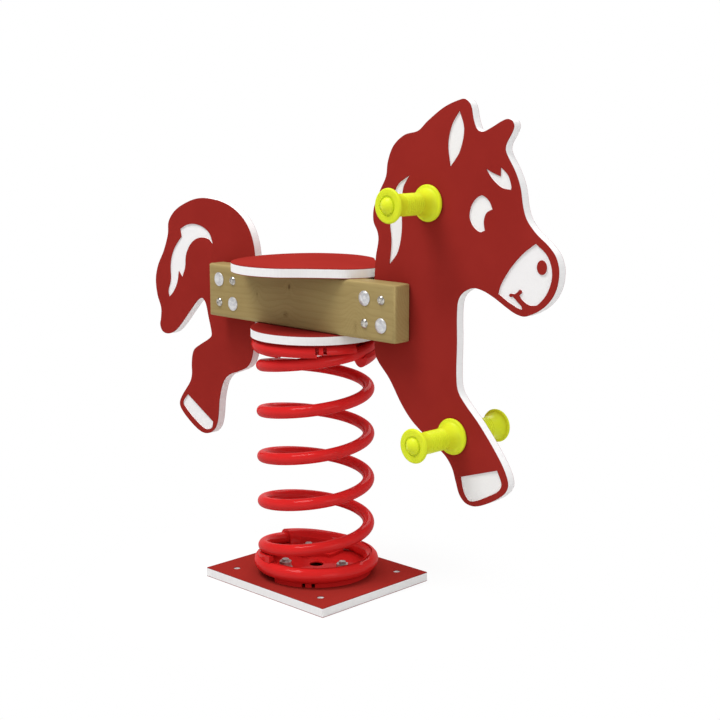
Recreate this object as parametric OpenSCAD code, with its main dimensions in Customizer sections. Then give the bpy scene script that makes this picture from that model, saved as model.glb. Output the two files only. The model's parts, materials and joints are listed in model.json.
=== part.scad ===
// Spring rider: a horse cut from plastic sheet, carried by timber beams on one coil spring.
// X runs to the horse's nose, Y to its left, Z up. The origin is under the base plate, on the spring axis.
// All lengths are millimetres, all angles degrees, counted from X towards Y.

/* [Plastic sheet] */
// thickness of every sheet part
sheet_t = 16; // [12:0.5:20]
// depth of the routed pockets that show the pale core
pocket_d = 2; // [1:0.25:4]

/* [Base plate] */
// length along X
base_l = 290; // [260:2:340]
// width along Y
base_w = 250; // [240:2:320]
// anchor hole spacing along X
anchor_dx = 210; // [190:2:240]
// anchor hole spacing along Y
anchor_dy = 182; // [170:2:220]
// anchor hole diameter
anchor_d = 12; // [8:0.5:16]

/* [Spring] */
// outside diameter of the working coils
coil_d = 200; // [190:1:210]
// wire diameter
wire_d = 20; // [16:0.5:21]
// rise per turn of the working coils
pitch = 78.5; // [70:0.5:90]
// working turns between the two end turns
work_turns = 4.8; // [4.5:0.1:5.2]
// how far the end turns stand outside the working coils, on radius
end_flare = 4.5; // [2:0.5:5]
// angle at which the wire leaves the lower end turn
rise_angle = 88; // [60:1:120]
// sweep of the lower end turn
lower_sweep = 240; // [220:5:245]
// sweep of the upper end turn
upper_sweep = 225; // [200:5:240]
// angle over which the wire bends from flat to full pitch
ease_angle = 40; // [30:5:60]
// rings of points per turn
turn_rings = 36; // [16:4:40]
// sides of the wire
wire_sides = 12; // [8:2:16]

/* [Spring clamps] */
// height of the slotted band under the lower dish
band_h = 8.5; // [6:0.5:14]
// wall of the bands and dishes
dish_t = 2; // [1.5:0.25:4]
// angle over which each gutter's lips curl round the end turn, from the horizontal
lip_curl = 80; // [60:1:82]
// height of the gutter's low rims above the wire's middle, where the coil climbs away
low_rim = 3; // [0:0.5:4]
// width of the slots in the band and the upper gutter
slot_w = 6; // [4:0.5:8]
// radius of the drain hole in each dish
drain_r = 12; // [10:1:20]
// radius of the circle of clamp bolts
clamp_r = 56; // [50:1:60]
// angles of the bolts in the lower dish's floor
lower_angles = [-115, 8]; // [-180:1:180]
// angles of the bolts in the upper dish's floor, seen from its own side
upper_angles = [-6, -66, 174]; // [-180:1:180]
// sweep of the lower claw along the rising wire
lower_claw_sweep = 72; // [40:1:84]
// sweep of the upper claw along the rising wire
upper_claw_sweep = 46; // [40:1:60]
// thickness of the lower claw over the wire
lower_claw_h = 5; // [4:0.5:8]
// thickness of the upper claw over the wire
upper_claw_h = 15; // [8:0.5:18]
// clamp bolt diameter
clamp_bolt_d = 12; // [8:1:14]

/* [Beams] */
// beam length
beam_l = 450; // [430:2:470]
// beam height
beam_h = 93; // [80:1:100]
// beam thickness
beam_t = 36.5; // [28:0.5:40]
// rounding of the beam edges
beam_round = 7.5; // [2:0.5:10]
// distance of each bolt group from the beam's end
bolt_end = 48; // [40:1:54]
// bolt spacing along the beam
bolt_dx = 36; // [30:1:42]
// bolt spacing up the beam
bolt_dz = 40; // [34:1:50]

/* [Bolts and screws] */
// through bolt diameter
bolt_d = 10; // [8:1:12]
// through bolt dome diameter
dome_d = 24; // [18:0.5:28]
// through bolt dome height
dome_h = 5; // [4:0.5:8]
// panel screw diameter
screw_d = 6; // [5:0.5:8]
// panel screw dome diameter
button_d = 15; // [12:0.5:16]
// panel screw dome height
button_h = 4.5; // [3:0.5:6]

/* [Support disc and seat] */
// support disc diameter
disc_d = 216; // [214:1:230]
// how far the seat stops short of the beams' ends
seat_inset = 89; // [87:1:100]
// seat width along Y
seat_w = 252; // [220:2:270]

/* [Horse panels] */
// length of the sheet the front panel is cut from
front_l = 400; // [380:2:420]
// height of the sheet the front panel is cut from
front_h = 640; // [620:2:660]
// lap of that sheet between the beams
front_lap = 105; // [100:1:106]
// drop of that sheet's lower edge below the beams
front_drop = 253; // [245:1:262]
// length of the sheet the rear panel is cut from
rear_l = 320; // [310:2:330]
// height of the sheet the rear panel is cut from
rear_h = 460; // [450:2:470]
// lap of that sheet between the beams
rear_lap = 105; // [100:1:106]
// drop of that sheet's lower edge below the beams
rear_drop = 243; // [236:1:250]

/* [Grips and pegs] */
// length of each grip along Y
grip_l = 92; // [80:1:110]
// diameter of the ribbed shaft
grip_d = 34; // [28:1:38]
// diameter of the flange against the panel
flange_d = 57; // [48:1:62]
// diameter of the outer flange
knob_d = 53; // [48:1:60]
// thickness of both flanges at the rim
flange_t = 6; // [4:0.5:11]
// length over which the shaft flares into each flange
flare_l = 21; // [8:0.5:24]
// depth of the ribs
rib_d = 1; // [0.5:0.25:2]
// ribs along the shaft
rib_count = 9; // [6:1:16]
// grip cap diameter
cap_d = 25; // [22:1:32]
// grip cap height
cap_h = 7.5; // [5:0.5:10]
// steel rod diameter
rod_d = 12; // [10:1:14]

/* [Hidden] */
$fn = 72;

// how far a cut runs past the face it opens
cut_over = 1;
// clearance on radius round bolts, screws and rods
bolt_gap = 0.25;
// clearance between the spring wire and the steel round it
wire_gap = 0.6;

sheet_red = [0.60, 0.15, 0.14];
steel_red = [0.83, 0.10, 0.12];
timber = [0.66, 0.57, 0.36];
zinc = [0.74, 0.76, 0.78];
lime = [0.87, 0.94, 0.16];

// heights of the stack, from the ground up
wire_r = wire_d / 2;
coil_r = coil_d / 2 - wire_r;
end_r = coil_r + end_flare;
lower_dish_z = sheet_t + band_h;
lower_floor_z = lower_dish_z + dish_t;
wire_z0 = lower_floor_z + wire_gap + wire_r;
wire_z1 = wire_z0 + pitch * work_turns;
upper_floor_z = wire_z1 + wire_r + wire_gap;
disc_z = upper_floor_z + dish_t;
beam_z = disc_z + sheet_t;
beam_mid_z = beam_z + beam_h / 2;
seat_z = beam_z + beam_h;
front_x = beam_l / 2 - front_lap;
front_z = beam_z - front_drop;
rear_x = rear_l + beam_l / 2 - rear_lap;
rear_z = beam_z - rear_drop;
bolt_x = beam_l / 2 - bolt_end;
seat_l = beam_l - 2 * seat_inset;
beam_y = sheet_t / 2 + beam_t / 2;
beam_face = sheet_t / 2 + beam_t;

// gutters round the end turns
gutter_in = wire_r + wire_gap;
gutter_out = gutter_in + dish_t;
gutter_r = end_r + gutter_out;
hub_r = end_r - gutter_out;
band_out = end_r;
band_in = band_out - 3 * dish_t;

// clamp studs, washers and nuts
clamp_head_h = 6;
clamp_head_r = 9;
head_sunk = 1;
washer_r = 12;
washer_t = 2;
clamp_nut_across = 19;
clamp_nut_h = 10;
nut_across = 17;
nut_h = 8;
stud_over = 4;

// claw, band, gutter and wedge
claw_t = 5;
claw_gap = 0.5;
claw_out = gutter_in + claw_t;
claw_foot_in = clamp_r - washer_r - claw_t / 2;
claw_steps = 14;
claw_edge = 20;
claw_shoulder = 150;
lower_claw_angle = 12;
upper_claw_angle = 2;
claw_bolt_share = 0.7;
lower_claw_bolt = rise_angle + lower_claw_angle + claw_bolt_share * lower_claw_sweep;
upper_claw_bolt = rise_angle + upper_claw_angle + claw_bolt_share * upper_claw_sweep;
stud_top = lower_floor_z + washer_t + clamp_nut_h + stud_over;
arc_steps = 13;
band_slots = [-57, -47];
band_from = -92;
band_sweep = 295;
gutter_slots = [179, 186];
slot_sill = 1.5;
slot_h = 11;
gutter_sweep = 296;
gutter_lead = 4;
gutter_to = rise_angle - gutter_lead;
gutter_from = gutter_to - gutter_sweep;
wedge_from = 134;
wedge_to = 176;
curl_from = wedge_from + rise_angle - 360 + gutter_lead;
inner_step = -190;
inner_rim_share = 0.5;
inner_rim = inner_rim_share * gutter_in;
outer_step = -174;
outer_rim_share = 0.75;
outer_rim = outer_rim_share * gutter_in;
wedge_steps = 8;
wedge_edges = [62, 105];

// lag screws from the disc into the beams
lag_x = 74;
lag_r = 4;
lag_head_r = 7;
lag_head_h = 4;
lag_l = sheet_t + beam_h / 2;

// distance of each panel screw's tip from the middle plane
tip_gap = 1;
// hexagon socket in the head of a panel screw
socket_across = 6;
socket_l = 2.5;

// seat and the steel angles that hold it
seat_x = -2;
angle_shares = [-0.4, -2 / 15, 2 / 15, 0.4];
angle_span = beam_l - front_lap - rear_lap;
angle_l = 30;
angle_h = 32;
angle_t = 3;
angle_drop = 20;
angle_screw_r = 2.5;
angle_screw_l = 11;
angle_head_r = 4.2;
angle_head_h = 2.5;

// counterbore in the grips and the plug of their caps
grip_bore = 10.5;
grip_bore_l = 18;
plug_l = 5;
shaft_from = flange_t + flare_l;
rib_pitch = (grip_l - 2 * shaft_from) / rib_count;

// points per stretch of outline
outline_steps = 5;
pocket_steps = 5;
seat_steps = 8;

// positions of the two handle axes, as shares of the front sheet
hand_share = [0.350, 0.736];
foot_share = [0.485, 0.183];
hand_at = [front_x + hand_share[0] * front_l, front_z + hand_share[1] * front_h];
foot_at = [front_x + foot_share[0] * front_l, front_z + foot_share[1] * front_h];

// outline of the front panel, nose to the right, as shares of its sheet; a third value of 1 is a corner
front_shares = [
    [0.505, 0.978], [0.527, 0.977], [0.550, 0.964], [0.565, 0.930], [0.583, 0.909], [0.610, 0.905],
    [0.647, 0.914], [0.713, 0.933], [0.740, 0.931], [0.752, 0.919], [0.745, 0.905], [0.720, 0.880],
    [0.715, 0.866], [0.725, 0.852], [0.760, 0.819], [0.785, 0.784], [0.800, 0.738], [0.818, 0.711],
    [0.860, 0.683], [0.915, 0.658], [0.950, 0.634], [0.965, 0.600], [0.950, 0.556], [0.902, 0.520],
    [0.823, 0.495], [0.780, 0.497], [0.735, 0.509], [0.677, 0.528], [0.620, 0.542], [0.570, 0.545],
    [0.517, 0.528], [0.497, 0.502], [0.497, 0.410], [0.497, 0.316], [0.515, 0.284], [0.615, 0.222],
    [0.710, 0.152], [0.748, 0.113], [0.755, 0.089], [0.733, 0.067], [0.670, 0.041], [0.600, 0.023],
    [0.552, 0.025], [0.520, 0.042], [0.500, 0.073], [0.480, 0.105], [0.440, 0.133], [0.282, 0.194],
    [0.217, 0.234], [0.147, 0.295], [0.077, 0.341], [0.065, 0.375], [0.065, 0.460], [0.065, 0.547],
    [0.072, 0.598], [0.085, 0.637], [0.080, 0.658], [0.058, 0.683], [0.060, 0.716], [0.092, 0.758],
    [0.125, 0.794], [0.135, 0.831], [0.165, 0.869], [0.223, 0.895], [0.292, 0.905], [0.340, 0.928],
    [0.425, 0.961]];
ear_shares = [[0.497, 0.952, 1], [0.520, 0.911], [0.500, 0.859], [0.455, 0.823, 1], [0.443, 0.875],
    [0.460, 0.919]];
mane_shares = [[0.250, 0.800, 1], [0.217, 0.769], [0.210, 0.719], [0.210, 0.664], [0.190, 0.613],
    [0.145, 0.580, 1], [0.155, 0.637], [0.147, 0.680], [0.150, 0.727], [0.188, 0.775]];
forelock_shares = [[0.625, 0.823, 1], [0.655, 0.814], [0.695, 0.806, 1], [0.695, 0.827, 1],
    [0.730, 0.808], [0.745, 0.784], [0.743, 0.777, 1], [0.700, 0.781], [0.655, 0.800]];
eye_shares = [[0.608, 0.761], [0.642, 0.750], [0.660, 0.731, 1], [0.632, 0.722], [0.620, 0.703],
    [0.625, 0.681, 1], [0.600, 0.677], [0.565, 0.691], [0.550, 0.714], [0.568, 0.745]];
muzzle_shares = [[0.860, 0.661, 1], [0.912, 0.636], [0.935, 0.598], [0.917, 0.555], [0.868, 0.522],
    [0.810, 0.509], [0.750, 0.520], [0.693, 0.539, 1], [0.705, 0.561], [0.745, 0.598], [0.800, 0.634]];
nostril_share = [0.889, 0.609];
nostril_size_share = [0.022, 0.0165];
mouth_shares = [[0.744, 0.539], [0.750, 0.543], [0.768, 0.543], [0.784, 0.549], [0.791, 0.554],
    [0.800, 0.553], [0.802, 0.548], [0.790, 0.541, 1], [0.802, 0.532], [0.820, 0.525], [0.842, 0.521],
    [0.878, 0.524, 1], [0.875, 0.512, 1], [0.845, 0.505], [0.805, 0.507, 1], [0.801, 0.517],
    [0.786, 0.524], [0.771, 0.532], [0.760, 0.537, 1], [0.750, 0.535]];
fore_hoof_shares = [[0.525, 0.087, 1], [0.703, 0.123, 1], [0.725, 0.091], [0.708, 0.073],
    [0.660, 0.055], [0.610, 0.039], [0.568, 0.033], [0.542, 0.050]];

// outline of the rear panel, tail to the left
rear_shares = [
    [0.931, 0.765], [0.897, 0.848], [0.822, 0.909], [0.703, 0.950], [0.556, 0.967], [0.438, 0.963],
    [0.325, 0.939], [0.237, 0.907], [0.181, 0.863], [0.172, 0.813], [0.128, 0.743], [0.072, 0.683],
    [0.047, 0.624], [0.059, 0.561], [0.091, 0.509], [0.087, 0.467], [0.078, 0.439], [0.100, 0.413],
    [0.153, 0.407], [0.219, 0.424], [0.281, 0.459], [0.372, 0.522], [0.431, 0.561], [0.472, 0.574],
    [0.503, 0.557], [0.528, 0.500], [0.550, 0.448], [0.550, 0.430], [0.525, 0.415], [0.450, 0.387],
    [0.394, 0.363], [0.375, 0.339], [0.366, 0.300], [0.366, 0.259], [0.350, 0.228], [0.309, 0.193],
    [0.266, 0.157], [0.247, 0.128], [0.263, 0.104], [0.331, 0.067], [0.419, 0.035], [0.478, 0.028],
    [0.534, 0.039], [0.575, 0.065], [0.597, 0.109], [0.609, 0.174], [0.628, 0.224], [0.653, 0.259],
    [0.694, 0.285], [0.784, 0.309], [0.850, 0.330], [0.887, 0.359], [0.906, 0.400], [0.919, 0.461],
    [0.925, 0.620]];
flame_shares = [[0.287, 0.839, 1], [0.347, 0.857], [0.425, 0.863], [0.500, 0.852], [0.550, 0.830],
    [0.578, 0.789, 1], [0.537, 0.809], [0.478, 0.813], [0.419, 0.802], [0.369, 0.776], [0.334, 0.735],
    [0.325, 0.689], [0.297, 0.646, 1], [0.266, 0.670, 1], [0.250, 0.624], [0.212, 0.583],
    [0.172, 0.559, 1], [0.163, 0.583], [0.188, 0.630], [0.188, 0.683], [0.203, 0.728], [0.241, 0.770],
    [0.297, 0.809, 1]];
hind_hoof_shares = [[0.325, 0.172, 1], [0.550, 0.083, 1], [0.537, 0.057], [0.475, 0.046],
    [0.375, 0.078], [0.287, 0.122], [0.281, 0.139]];

// half outline of the seat from its tail end to its nose, as shares of length and half width
seat_half_shares = [[-0.500, 0.000], [-0.455, 0.480], [-0.330, 0.830], [-0.120, 1.000], [0.090, 0.910],
    [0.230, 0.660], [0.340, 0.480], [0.440, 0.320], [0.500, 0.000]];

// a smooth closed curve through points, straight into and out of the corners
function leg(p, i) = let (n = len(p), d = p[(i + 1) % n] - p[i]) [d[0], d[1]];
function lean(p, i) = let (a = leg(p, (i + len(p) - 1) % len(p)), b = leg(p, i))
    (a + b) / (norm(a) + norm(b));
function along(p, i) = leg(p, i) / norm(leg(p, i));
function lean_out(p, i) = p[i][2] == 1 ? along(p, i) : lean(p, i);
function lean_in(p, i) = let (j = (i + 1) % len(p)) p[j][2] == 1 ? along(p, i) : lean(p, j);
function curve_point(p, i, t) = let (a = p[i], b = p[(i + 1) % len(p)], d = norm(leg(p, i)),
    m = d * lean_out(p, i), q = d * lean_in(p, i), u = t * t * (3 - 2 * t),
    v = t * (1 - t) * (1 - t), w = t * t * (1 - t))
    [a[0] + (b[0] - a[0]) * u + m[0] * v - q[0] * w, a[1] + (b[1] - a[1]) * u + m[1] * v - q[1] * w];
function smooth_loop(p, steps) = [for (i = [0 : len(p) - 1]) for (k = [0 : steps - 1])
    curve_point(p, i, k / steps)];
function sized(shares, l, h) = [for (s = shares) [s[0] * l, s[1] * h, s[2] == 1 ? 1 : 0]];
function front_loop(shares, steps) = smooth_loop(sized(shares, front_l, front_h), steps);
function rear_loop(shares, steps) = smooth_loop(sized(shares, rear_l, rear_h), steps);
function mirrored(half) = concat(half, [for (i = [len(half) - 2 : -1 : 1]) [half[i][0], -half[i][1]]]);

// the wire's centre line: flat end turns, full pitch between them, angle counted from the rise
work_angle = 360 * work_turns + ease_angle;
wire_from = -lower_sweep;
wire_to = work_angle + upper_sweep;
function ease(a) = a <= 0 ? 0 : a < ease_angle ? a * a / (2 * ease_angle) : a - ease_angle / 2;
function rise(a) = a < work_angle / 2 ? pitch / 360 * ease(a)
    : pitch * work_turns - pitch / 360 * ease(work_angle - a);
function blend(t) = t <= 0 ? 0 : t >= 1 ? 1 : t * t * (3 - 2 * t);
function inward(a) = blend((a - ease_angle) / 90);
function reach(a) = end_r - end_flare * inward(a) * inward(work_angle - a);
function wire_at(a) = [reach(a) * cos(a + rise_angle), reach(a) * sin(a + rise_angle), wire_z0 + rise(a)];
function unit(v) = v / norm(v);
function ring_at(a) = let (c = wire_at(a), t = unit(wire_at(a + 1) - wire_at(a - 1)),
    e = unit([cos(a + rise_angle), sin(a + rise_angle), 0] - t * (t * [cos(a + rise_angle),
    sin(a + rise_angle), 0])), f = cross(t, e))
    [for (k = [0 : wire_sides - 1]) let (b = 360 * k / wire_sides) c + wire_r * (cos(b) * e + sin(b) * f)];

function reversed(list) = [for (i = [len(list) - 1 : -1 : 0]) list[i]];

// a closed solid skinned over equal rings of points; a banded ring runs along one rail and back by the other
module skin(rings, banded = false) {
    n = len(rings[0]);
    last = len(rings) - 1;
    points = [for (r = rings) for (p = r) p];
    sides = [for (i = [0 : last - 1]) for (k = [0 : n - 1])
        [i * n + k, (i + 1) * n + k, (i + 1) * n + (k + 1) % n, i * n + (k + 1) % n]];
    whole = [[for (k = [0 : n - 1]) k]];
    bands = [for (k = [0 : n / 2 - 2]) [k, k + 1, n - 2 - k, n - 1 - k]];
    end = banded ? bands : whole;
    far_end = [for (f = end) [for (k = reversed(f)) last * n + k]];
    polyhedron(points, concat(sides, end, far_end), convexity = 10);
}

// a cylinder along Y, centred on y = 0
module cross_pin(r, l) {
    rotate([90, 0, 0]) cylinder(h = l, r = r, center = true);
}

// a spherical dome of diameter d and height h standing on z = 0
module dome(d, h) {
    ball_r = (d * d / 4 + h * h) / (2 * h);
    intersection() {
        translate([0, 0, h - ball_r]) sphere(r = ball_r);
        cylinder(h = h, d = d);
    }
}

module hex_nut(across, h) {
    cylinder(h = h, d = across / cos(30), $fn = 6);
}

module rounded_box(l, w, h, r) {
    intersection() {
        linear_extrude(h, center = true) rounded_rect(l, w, r);
        rotate([90, 0, 0]) linear_extrude(w, center = true) rounded_rect(l, h, r);
        rotate([90, 0, 90]) linear_extrude(l, center = true) rounded_rect(w, h, r);
    }
}

module rounded_rect(l, w, r) {
    square([l - 2 * r, w], center = true);
    square([l, w - 2 * r], center = true);
    for (x = [-1, 1], y = [-1, 1]) translate([x * (l / 2 - r), y * (w / 2 - r)]) circle(r = r);
}

// bolt places on a beam: kind 1 is the pair of through bolts, kind -1 the pair of screws
module at_bolts(kind) {
    for (end = [-1, 1], k = [-1, 1])
        translate([end * bolt_x - k * kind * bolt_dx / 2, 0, beam_mid_z + k * bolt_dz / 2]) children();
}

module at_clamps(angles) {
    for (a = angles) rotate([0, 0, a]) translate([clamp_r, 0, 0]) children();
}

// sheet standing in the middle plane, its lower left corner at x, z
module standing_sheet(x, z) {
    translate([x, sheet_t / 2, z]) rotate([90, 0, 0]) linear_extrude(sheet_t) children();
}

// the same outline routed into both faces of that sheet
module routed(x, z) {
    for (y = [sheet_t / 2 + cut_over, pocket_d - sheet_t / 2])
        translate([x, y, z]) rotate([90, 0, 0]) linear_extrude(pocket_d + cut_over) children();
}

// clamp stud with its head sunk into the face at z = 0, seat plane at clamp_head_h, total length l
module clamp_stud(l) {
    translate([0, 0, head_sunk]) cylinder(h = clamp_head_h - head_sunk, r = clamp_head_r);
    cylinder_from(clamp_head_h, l, clamp_bolt_d / 2);
}

module cylinder_from(z0, z1, r) {
    translate([0, 0, z0]) cylinder(h = z1 - z0, r = r);
}

module clamp_nut() {
    difference() {
        union() {
            cylinder(h = washer_t, r = washer_r);
            translate([0, 0, washer_t]) hex_nut(clamp_nut_across, clamp_nut_h);
        }
        cylinder_from(-cut_over, washer_t + clamp_nut_h + cut_over, clamp_bolt_d / 2 + bolt_gap);
    }
}

// holes for the clamp studs through a sheet standing on z = 0, counterbored from below
module clamp_holes(angles) {
    at_clamps(angles) {
        cylinder_from(-cut_over, sheet_t + cut_over, clamp_bolt_d / 2 + bolt_gap);
        cylinder_from(-cut_over, clamp_head_h, clamp_head_r + bolt_gap);
    }
}

module stud_holes(angles, t) {
    at_clamps(angles) cylinder_from(-cut_over, t + cut_over, clamp_bolt_d / 2 + bolt_gap);
}

module base_plate() {
    color(sheet_red) difference() {
        translate([-base_l / 2, -base_w / 2, 0]) cube([base_l, base_w, sheet_t]);
        for (x = [-1, 1], y = [-1, 1]) translate([x * anchor_dx / 2, y * anchor_dy / 2, 0])
            cylinder_from(-cut_over, sheet_t + cut_over, anchor_d / 2);
        clamp_holes(concat(lower_angles, [lower_claw_bolt]));
    }
}

// slotted spacer band, open at one side
module lower_band() {
    color(steel_red) translate([0, 0, sheet_t]) difference() {
        rotate([0, 0, band_from]) rotate_extrude(angle = band_sweep)
            translate([band_in, 0]) square([band_out - band_in, band_h]);
        for (a = band_slots) rotate([0, 0, a]) translate([band_in - cut_over, -slot_w / 2, -cut_over])
            cube([band_out - band_in + 2 * cut_over, slot_w, band_h - slot_sill + cut_over]);
    }
}

// arc about a wire whose centre stands at radius c and height z; r across, h upwards
function wire_arc(c, z, r, h, from, to) = [for (i = [0 : arc_steps])
    let (f = from + (to - from) * i / arc_steps) [c + r * cos(f), z + h * sin(f)]];
function gutter_arc(r, from, to) = wire_arc(end_r, wire_z0, r, r, from, to);
function turned(section, angle) = [for (p = section) [p[0] * cos(angle), p[0] * sin(angle), p[1]]];

// gutter wall round the wire between angles f0 and f1 of its section, from angle a0 to a1 of the clamp
module gutter(f0, f1, a0, a1) {
    rotate([0, 0, a0]) rotate_extrude(angle = a1 - a0)
        polygon(concat(gutter_arc(gutter_out, f0, f1), gutter_arc(gutter_in, f1, f0)));
}

// takes the gutter's rim between radii r0 and r1 down to height h over the wire's middle, up to angle a1
module low_rim_cut(r0, r1, h, a1) {
    rotate([0, 0, gutter_from - gutter_lead]) rotate_extrude(angle = a1 - gutter_from + gutter_lead)
        translate([r0, wire_z0 + h]) square([r1 - r0, gutter_out]);
}

// pressed dish: flat floor and a gutter that curls round the lower end turn
module dish(angles) {
    difference() {
        union() {
            translate([0, 0, lower_dish_z]) cylinder(h = dish_t, r = band_out);
            gutter(-180 - lip_curl, lip_curl, gutter_from, gutter_to);
        }
        low_rim_cut(end_r, gutter_r + cut_over, outer_rim, curl_from);
        low_rim_cut(end_r, gutter_r + cut_over, low_rim, outer_step);
        low_rim_cut(hub_r - cut_over, end_r, inner_rim, curl_from);
        low_rim_cut(hub_r - cut_over, end_r, low_rim, inner_step);
        translate([0, 0, lower_dish_z]) {
            cylinder_from(-cut_over, dish_t + cut_over, drain_r);
            stud_holes(angles, dish_t);
            children();
        }
    }
}

// the upper clamp is the lower one turned over about a level axis, as the coil itself may be
module at_top() {
    translate([0, 0, wire_z0 + wire_z1]) rotate([180, 0, work_angle + 2 * rise_angle]) children();
}

module lower_dish() {
    color(steel_red) dish(concat(lower_angles, [lower_claw_bolt]));
}

// with two slots
module upper_dish() {
    color(steel_red) at_top() dish(concat(upper_angles, [upper_claw_bolt])) for (a = gutter_slots)
        rotate([0, 0, a]) translate([end_r, -slot_w / 2, dish_t + slot_sill])
            cube([gutter_out + cut_over, slot_w, slot_h]);
}

// claw on the dish floor whose arch of thickness h follows the rising wire: arch, wall and foot
function claw_section(a, h) = let (c = reach(a), z = wire_z0 + rise(a), wall = hub_r - claw_gap,
    foot_z = lower_floor_z + claw_t,
    inside = concat(wire_arc(c, z, gutter_in, gutter_in, claw_edge, 180),
        [[wall, z], [wall, lower_floor_z], [claw_foot_in, lower_floor_z]]),
    outside = concat(wire_arc(c, z, claw_out, gutter_in + h, claw_edge, claw_shoulder),
        [[wall - claw_t, z + claw_t], [wall - claw_t, foot_z], [claw_foot_in, foot_z]]))
    concat(inside, reversed(outside));

module claw(from, sweep, h, bolt) {
    difference() {
        skin([for (i = [0 : claw_steps]) let (a = from + sweep * i / claw_steps)
            turned(claw_section(a, h), a + rise_angle)], banded = true);
        translate([0, 0, lower_floor_z]) stud_holes([bolt], claw_t);
    }
}

module lower_claw() {
    color(steel_red) claw(lower_claw_angle, lower_claw_sweep, lower_claw_h, lower_claw_bolt);
}

module upper_claw() {
    color(steel_red) at_top() claw(upper_claw_angle, upper_claw_sweep, upper_claw_h, upper_claw_bolt);
}

// studs through a dish floor and a longer one through its claw, from a sheet that starts at z0
module clamp_studs(z0, angles, claw_bolt) {
    translate([0, 0, z0]) {
        at_clamps(angles) clamp_stud(stud_top - z0);
        at_clamps([claw_bolt]) clamp_stud(stud_top + claw_t - z0);
    }
}

module clamp_nuts(angles, claw_bolt) {
    translate([0, 0, lower_floor_z]) {
        at_clamps(angles) clamp_nut();
        translate([0, 0, claw_t]) at_clamps([claw_bolt]) clamp_nut();
    }
}

module lower_bolts() {
    color(zinc) clamp_studs(0, lower_angles, lower_claw_bolt);
}

module lower_nuts() {
    color(zinc) clamp_nuts(lower_angles, lower_claw_bolt);
}

module upper_bolts() {
    color(zinc) at_top() clamp_studs(band_h, upper_angles, upper_claw_bolt);
}

module upper_nuts() {
    color(zinc) at_top() clamp_nuts(upper_angles, upper_claw_bolt);
}

// wedge that closes the narrow gap between the lower gutter and the first working coil
function wedge_section(top) = let (
    foot = gutter_arc(gutter_out + wire_gap, wedge_edges[0], wedge_edges[1]))
    concat(foot, reversed([for (p = foot) [p[0], top]]));

module gap_block() {
    color(steel_red) skin([for (i = [0 : wedge_steps])
        let (a = wedge_from + (wedge_to - wedge_from) * i / wedge_steps)
        turned(wedge_section(wire_z0 + rise(a) - wire_r - wire_gap), a + rise_angle)], banded = true);
}

// points along the wire, and the least space left between stretches half a turn or more apart
function wire_gaps() = [for (a = [wire_from : 6 : wire_to - 180]) for (b = [a + 180 : 6 : wire_to])
    norm(wire_at(a) - wire_at(b)) - wire_d];

module spring() {
    rings = ceil((wire_to - wire_from) / 360 * turn_rings);
    echo(least_gap_of_the_spring_to_itself = min(wire_gaps()));
    color(steel_red) skin([for (i = [0 : rings]) ring_at(wire_from + (wire_to - wire_from) * i / rings)]);
}

module support_disc() {
    color(sheet_red) difference() {
        translate([0, 0, disc_z]) cylinder(h = sheet_t, d = disc_d, $fn = 144);
        at_top() translate([0, 0, band_h]) clamp_holes(concat(upper_angles, [upper_claw_bolt]));
        at_disc_screws() lag_hole();
    }
}

// four lag screws up through the disc, two into each beam
module at_disc_screws() {
    for (x = [-1, 1], y = [-1, 1]) translate([x * lag_x, y * beam_y, disc_z]) children();
}

module lag_hole() {
    cylinder_from(-cut_over, lag_head_h, lag_head_r + bolt_gap);
    cylinder_from(0, lag_l + bolt_gap, lag_r + bolt_gap);
}

module disc_screws() {
    color(zinc) at_disc_screws() {
        cylinder(h = lag_head_h, r = lag_head_r);
        cylinder_from(0, lag_l, lag_r);
    }
}

// one beam on the side of negative Y, with its holes
module beam() {
    difference() {
        translate([0, -beam_y, beam_mid_z]) rounded_box(beam_l, beam_t, beam_h, beam_round);
        at_bolts(1) cross_pin(bolt_d / 2 + bolt_gap, 2 * beam_face + 2 * cut_over);
        at_bolts(-1) cross_pin(screw_d / 2 + bolt_gap, 2 * beam_face + 2 * cut_over);
        at_disc_screws() lag_hole();
        for (k = angle_shares) translate([k * angle_span, 0, seat_z - angle_drop])
            cross_pin(angle_screw_r + bolt_gap, sheet_t + 2 * angle_screw_l + 2 * bolt_gap);
    }
}

module right_beam() {
    color(timber) beam();
}

module left_beam() {
    color(timber) mirror([0, 1, 0]) beam();
}

module bolt_holes() {
    at_bolts(1) cross_pin(bolt_d / 2 + bolt_gap, sheet_t + 2 * cut_over);
    at_bolts(-1) cross_pin(screw_d / 2 + bolt_gap, sheet_t + 2 * cut_over);
}

function nostril_loop() = [for (a = [0 : 15 : 345])
    [(nostril_share[0] + nostril_size_share[0] * cos(a)) * front_l,
    (nostril_share[1] + nostril_size_share[1] * sin(a)) * front_h]];

module front_panel() {
    color(sheet_red) difference() {
        standing_sheet(front_x, front_z) polygon(front_loop(front_shares, outline_steps));
        routed(front_x, front_z) {
            for (s = [ear_shares, mane_shares, forelock_shares, eye_shares, fore_hoof_shares])
                polygon(front_loop(s, pocket_steps));
            difference() {
                polygon(front_loop(muzzle_shares, pocket_steps));
                polygon(nostril_loop());
                polygon(front_loop(mouth_shares, pocket_steps));
            }
        }
        bolt_holes();
        for (p = [hand_at, foot_at]) translate([p[0], 0, p[1]])
            cross_pin(rod_d / 2 + bolt_gap, sheet_t + 2 * cut_over);
    }
}

module rear_panel() {
    color(sheet_red) difference() {
        standing_sheet(-rear_x, rear_z) polygon(rear_loop(rear_shares, outline_steps));
        routed(-rear_x, rear_z) for (s = [flame_shares, hind_hoof_shares])
            polygon(rear_loop(s, pocket_steps));
        bolt_holes();
    }
}

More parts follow.
